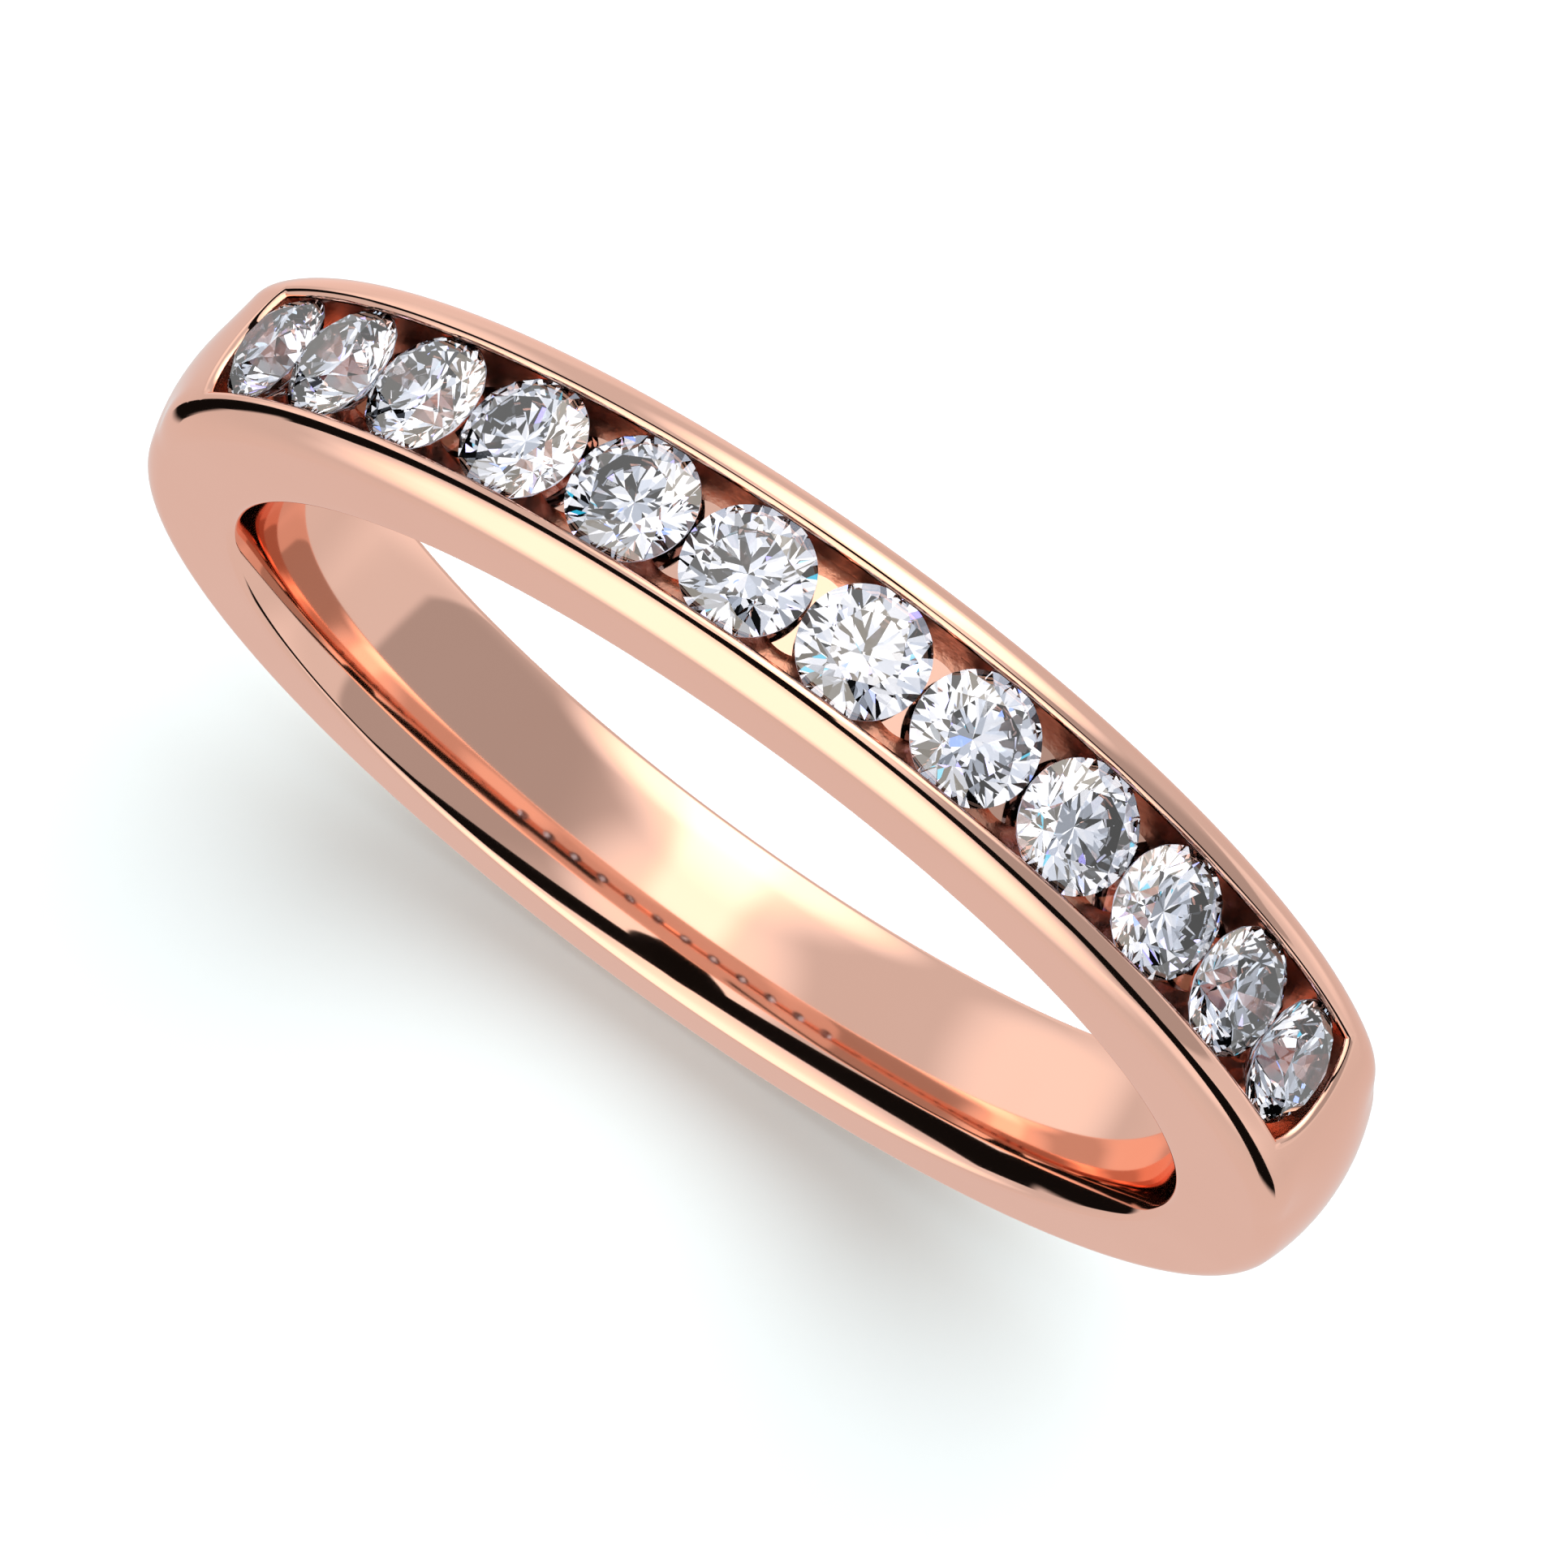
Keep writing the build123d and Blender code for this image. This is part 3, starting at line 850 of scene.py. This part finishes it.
class BAND_OT_stage(Operator):
    """Sets up the white sweep, the light tent and the camera"""

    bl_idname = "wedding_band.stage"
    bl_label = "Studio"

    def execute(self, context):
        scene = context.scene
        studio = scene.studio_sizes
        colours = scene.finish_colours
        ground = -scene.band_sizes.outer_radius
        half = studio.floor_half
        mesh = bpy.data.meshes.new("floor_mesh")
        corners = [(-half, -half, ground), (half, -half, ground), (half, half, ground),
                   (-half, half, ground)]
        mesh.from_pydata(corners, [], [(0, 1, 2, 3)])
        floor = bpy.data.objects.new("floor", mesh)
        scene.collection.objects.link(floor)
        material, _, shader = new_material("white_sweep")
        shader.inputs["Base Color"].default_value = (*colours.floor, 1)
        shader.inputs["Roughness"].default_value = FLOOR_ROUGHNESS
        mesh.materials.append(material)
        floor.visible_glossy = False

        lamp = bpy.data.lights.new("overhead_softbox", "AREA")
        lamp.shape = "DISK"
        lamp.size = studio.overhead_size
        lamp.energy = studio.overhead_power
        overhead = bpy.data.objects.new("overhead_softbox", lamp)
        overhead.location = studio.overhead_place
        direction = -Vector(overhead.location)
        overhead.rotation_euler = direction.to_track_quat("-Z", "Y").to_euler()
        overhead.visible_glossy = False
        overhead.visible_transmission = False
        scene.collection.objects.link(overhead)

        sparks(scene, studio)
        dark_cards(scene, studio)
        backdrop(scene, studio, ground)
        light_tent(scene, colours)

        right = Vector(studio.camera_right).normalized()
        back = Vector(studio.camera_back).normalized()
        up = back.cross(right).normalized()
        right = up.cross(back)
        lens = bpy.data.cameras.new("camera")
        lens.sensor_fit = "HORIZONTAL"
        lens.angle = studio.camera_view
        lens.clip_start = CLIP_START
        lens.clip_end = CLIP_END
        camera = bpy.data.objects.new("camera", lens)
        basis = Matrix((right, up, back)).transposed().to_4x4()
        camera.matrix_world = Matrix.Translation(Vector(studio.camera_place)) @ basis
        scene.collection.objects.link(camera)
        scene.camera = camera
        scene.view_settings.view_transform = "Standard"
        return {"FINISHED"}


# name, colour, azimuth and angle from straight up in degrees
SPARKS = (
    ("blue", "#4f86ff", 35, 38),
    ("violet", "#8a5cff", 150, 30),
    ("teal", "#3cd2e6", -35, 52),
    ("deep_blue", "#3f63ff", -140, 48),
    ("sky", "#7cc2ff", 95, 62),
    ("lilac", "#a98cff", -80, 38),
)
# name, azimuth and angle from straight up in degrees, radius in metres
CARDS = (
    ("middle", -78, 17, 0.052),
    ("right", 20, 34, 0.030),
    ("back", 110, 40, 0.034),
    ("left", 200, 36, 0.034),
    ("front", -45, 50, 0.030),
)
CARD_LIGHT = 0.05
CARD_CORNERS = 48
BACKDROP_SHARE = 0.95
BACKDROP_COLUMNS = 65
BACKDROP_ROWS = 17
CLIP_START = 0.005
CLIP_END = 10


def aimed(name, data, azimuth, from_zenith, distance):
    """An object at a place round the stones, turned to face them."""
    item = bpy.data.objects.new(name, data)
    place = Vector(towards(azimuth, from_zenith)) * distance
    item.matrix_world = Matrix.Translation(place) @ (
        (-place).to_track_quat("-Z", "Y").to_matrix().to_4x4()
    )
    return item


def only_through_stones(scene, item):
    """Shows an object to light that has passed through a stone and to nothing else."""
    item.visible_glossy = False
    item.visible_diffuse = False
    item.visible_camera = False
    item.visible_shadow = False
    scene.collection.objects.link(item)


def sparks(scene, studio):
    """Small coloured lamps that only show through the stones, for their fire."""
    for name, tint, azimuth, from_zenith in SPARKS:
        lamp = bpy.data.lights.new("spark_" + name, "AREA")
        lamp.shape = "DISK"
        lamp.size = studio.spark_size
        lamp.energy = studio.spark_power
        lamp.color = linear(tint)
        spark = aimed("spark_" + name, lamp, azimuth, from_zenith, studio.card_distance)
        only_through_stones(scene, spark)


def dark_cards(scene, studio):
    """Grey card discs that only show through the stones, for the contrast of their facets."""
    material, _, shader = new_material("grey_card")
    shader.inputs["Base Color"].default_value = (0, 0, 0, 1)
    shader.inputs["Emission Color"].default_value = (1, 1, 1, 1)
    shader.inputs["Emission Strength"].default_value = CARD_LIGHT
    turn = np.linspace(0, math.tau, CARD_CORNERS, endpoint=False)
    for name, azimuth, from_zenith, radius in CARDS:
        mesh = bpy.data.meshes.new("card_" + name)
        rim = np.stack([radius * np.cos(turn), radius * np.sin(turn), 0 * turn], axis=-1)
        mesh.from_pydata(rim.tolist(), [], [tuple(range(len(turn)))])
        mesh.materials.append(material)
        card = aimed("card_" + name, mesh, azimuth, from_zenith, studio.card_distance)
        only_through_stones(scene, card)


def backdrop(scene, studio, ground):
    """White half sphere behind everything, seen by the camera alone."""
    turn = np.linspace(0, math.tau, BACKDROP_COLUMNS)
    rise = np.linspace(0, math.pi / 2, BACKDROP_ROWS)
    reach = studio.floor_half * BACKDROP_SHARE
    points = np.stack([
        reach * np.cos(rise)[:, None] * np.cos(turn)[None, :],
        reach * np.cos(rise)[:, None] * np.sin(turn)[None, :],
        ground + reach * np.sin(rise)[:, None] * np.ones_like(turn)[None, :],
    ], axis=-1)
    mesh = bpy.data.meshes.new("backdrop_mesh")
    faces = grid_faces(BACKDROP_ROWS, BACKDROP_COLUMNS)
    mesh.from_pydata(points.reshape(-1, 3), [], faces)
    material, _, shader = new_material("white_backdrop")
    shader.inputs["Emission Color"].default_value = (1, 1, 1, 1)
    shader.inputs["Emission Strength"].default_value = 1.0
    mesh.materials.append(material)
    dome = bpy.data.objects.new("backdrop", mesh)
    dome.visible_glossy = False
    dome.visible_diffuse = False
    dome.visible_transmission = False
    dome.visible_shadow = False
    scene.collection.objects.link(dome)


def towards(azimuth, from_zenith):
    """Direction with an azimuth from +X and an angle from straight up, in degrees."""
    turn = math.radians(azimuth)
    lean = math.radians(from_zenith)
    return (math.sin(lean) * math.cos(turn), math.sin(lean) * math.sin(turn), math.cos(lean))


# level of the bare tent, of its front patch and of the light that is left in the gap
TENT_LEVEL = 0.72
FRONT_LEVEL = 1.15
GAP_LEVEL = 0.006
FRONT_PATCH = (-100, 75, 30, 60, 1.0)
# azimuth, angle from straight up, full inside and none outside in degrees, amount
TENT_PATCHES = (
    (90, 54, 12, 40, 1.5),
    (60, 0, 12, 34, 0.55),
    (165, 92, 12, 32, 0.4),
    (5, 75, 35, 60, -0.26),
    (0, 180, 30, 60, 0.06),
    (-150, 89, 8, 20, 0.15),
    (125, 125, 15, 30, 0.18),
)
# the gap is a slanted circle: its axis, its offset and how it bends below the horizon
GAP_AXIS = (0.204, 0.976, -0.0793)
GAP_OFFSET = 0.393
GAP_BEND = 0.30
HOOD_PLACE = (-107, 13.5)
# ramps: from this value to that value, the result goes from the third number to the fourth
GAP_WIDTH_BY_X = (-1.0, 0.2, 0.135, 0.105)
GAP_EDGE = (0.93, 1.0, 0.0, 1.0)
GAP_FOOT = (-0.35, -0.2, 1.0, 0.0)
GAP_END_BY_X = (-0.70, -0.60, 1.0, 0.0)
GAP_END_BY_Y = (-0.25, -0.19, 1.0, 0.0)
GAP_END_BY_Z = (-0.32, -0.24, 1.0, 0.0)
HOOD_EDGE = (0.975, 0.978, 1.0, 0.0)
STREAK_MIDDLE = 0.02
STREAK_EDGE = (0.10, 0.24, 0.60, 0.0)
STREAK_BY_Y = (-0.05, 0.15, 0.0, 1.0)
STREAK_BY_Z = (0.1, 0.5, 0.0, 1.0)
LOW_CLOTH_TOP = (-0.12, -0.06, 0.34, 0.0)
LOW_CLOTH_FOOT = (-0.70, -0.45, 0.0, 1.0)
LOW_CLOTH_BY_X = (0.50, 0.65, 0.0, 1.0)
WARM_LEVEL = (0.9, 1.5, 0.0, 1.0)


def light_tent(scene, colours):
    """World light of a cloth tent: warm where it is brightest, with a dark gap and a lens hood."""
    world = bpy.data.worlds.new("light_tent")
    scene.world = world
    world.use_nodes = True
    tree = world.node_tree
    tree.nodes.clear()
    place = add_node(tree, "ShaderNodeTexCoord")
    direction = place.outputs["Generated"]
    parts = add_node(tree, "ShaderNodeSeparateXYZ", {"Vector": direction})
    right, back, up = (parts.outputs[axis] for axis in "XYZ")

    def along(axis):
        node = add_node(tree, "ShaderNodeVectorMath", {0: direction}, operation="DOT_PRODUCT")
        node.inputs[1].default_value = axis
        return node.outputs["Value"]

    def ramp(value, low, high, to_low, to_high):
        return spread_over(
            tree, value, (low, high), (to_low, to_high), interpolation_type="SMOOTHSTEP"
        )

    def maths(kind, first, second=0.0):
        node = add_node(tree, "ShaderNodeMath", operation=kind)
        for place_number, value in enumerate((first, second)):
            if isinstance(value, (int, float)):
                node.inputs[place_number].default_value = value
            else:
                tree.links.new(value, node.inputs[place_number])
        return node.outputs["Value"]

    def patch_of_light(azimuth, from_zenith, full, none, amount):
        """Round patch, full inside one angle and gone outside another, in degrees."""
        value = along(towards(azimuth, from_zenith))
        low = math.cos(math.radians(none))
        high = math.cos(math.radians(full))
        return ramp(value, low, high, 0.0, amount)

    level = maths("MULTIPLY", patch_of_light(*FRONT_PATCH), FRONT_LEVEL)
    for patch in TENT_PATCHES:
        level = maths("ADD", level, patch_of_light(*patch))
    # a bright streak overhead
    streak = maths("ABSOLUTE", maths("SUBTRACT", right, STREAK_MIDDLE))
    streak = maths("MULTIPLY", ramp(streak, *STREAK_EDGE), ramp(back, *STREAK_BY_Y))
    level = maths("ADD", level, maths("MULTIPLY", streak, ramp(up, *STREAK_BY_Z)))
    # a lighter cloth low on the right, with a crisp top edge
    low_cloth = maths("MULTIPLY", ramp(up, *LOW_CLOTH_TOP), ramp(up, *LOW_CLOTH_FOOT))
    level = maths("ADD", level, maths("MULTIPLY", low_cloth, ramp(right, *LOW_CLOTH_BY_X)))
    level = maths("ADD", level, TENT_LEVEL)

    # the dark gap follows the slanted circle, and closes under the tent and low on the left
    offset = maths("ADD", along(GAP_AXIS), GAP_OFFSET)
    sunk = maths("MULTIPLY", maths("MINIMUM", up, 0.0), GAP_BEND)
    offset = maths("ABSOLUTE", maths("ADD", offset, sunk))
    clear = ramp(maths("DIVIDE", offset, ramp(right, *GAP_WIDTH_BY_X)), *GAP_EDGE)
    reach = maths("ADD", up, maths("ABSOLUTE", right))
    clear = maths("MAXIMUM", clear, ramp(reach, *GAP_FOOT))
    gap_end = maths("MULTIPLY", ramp(right, *GAP_END_BY_X), ramp(back, *GAP_END_BY_Y))
    gap_end = maths("MULTIPLY", gap_end, ramp(up, *GAP_END_BY_Z))
    clear = maths("MAXIMUM", clear, gap_end)
    hood = ramp(along(towards(*HOOD_PLACE)), *HOOD_EDGE)
    clear = maths("MULTIPLY", clear, hood)
    strength = maths("ADD", maths("MULTIPLY", level, clear), GAP_LEVEL)

    warmth = ramp(level, *WARM_LEVEL)
    tint = add_node(tree, "ShaderNodeMix", {"Factor": warmth}, data_type="RGBA")
    tint.inputs["A"].default_value = (*colours.tent, 1)
    tint.inputs["B"].default_value = (*colours.tent_bright, 1)
    shader = add_node(
        tree, "ShaderNodeBackground", {"Strength": strength, "Color": tint.outputs["Result"]}
    )
    add_node(tree, "ShaderNodeOutputWorld", {"Surface": shader.outputs["Background"]})


class BAND_PT_panel(Panel):
    """Buttons for each piece of the band"""

    bl_label = "Wedding band"
    bl_space_type = "VIEW_3D"
    bl_region_type = "UI"
    bl_category = "Wedding band"

    def draw(self, context):
        column = self.layout.column()
        for step in STEPS:
            column.operator(step.bl_idname)


GROUPS = (BandSizes, FinishColours, StudioSizes)
STEPS = (BAND_OT_band, BAND_OT_bridges, BAND_OT_diamonds, BAND_OT_stage)


def register():
    for item in (*GROUPS, *STEPS, BAND_PT_panel):
        bpy.utils.register_class(item)
    bpy.types.Scene.band_sizes = PointerProperty(type=BandSizes)
    bpy.types.Scene.finish_colours = PointerProperty(type=FinishColours)
    bpy.types.Scene.studio_sizes = PointerProperty(type=StudioSizes)


def unregister():
    del bpy.types.Scene.studio_sizes
    del bpy.types.Scene.finish_colours
    del bpy.types.Scene.band_sizes
    for item in (BAND_PT_panel, *reversed(STEPS), *reversed(GROUPS)):
        bpy.utils.unregister_class(item)


def main():
    register()
    bpy.ops.wedding_band.band()
    bpy.ops.wedding_band.bridges()
    bpy.ops.wedding_band.diamonds()
    bpy.ops.wedding_band.stage()


if __name__ == "__main__":
    main()
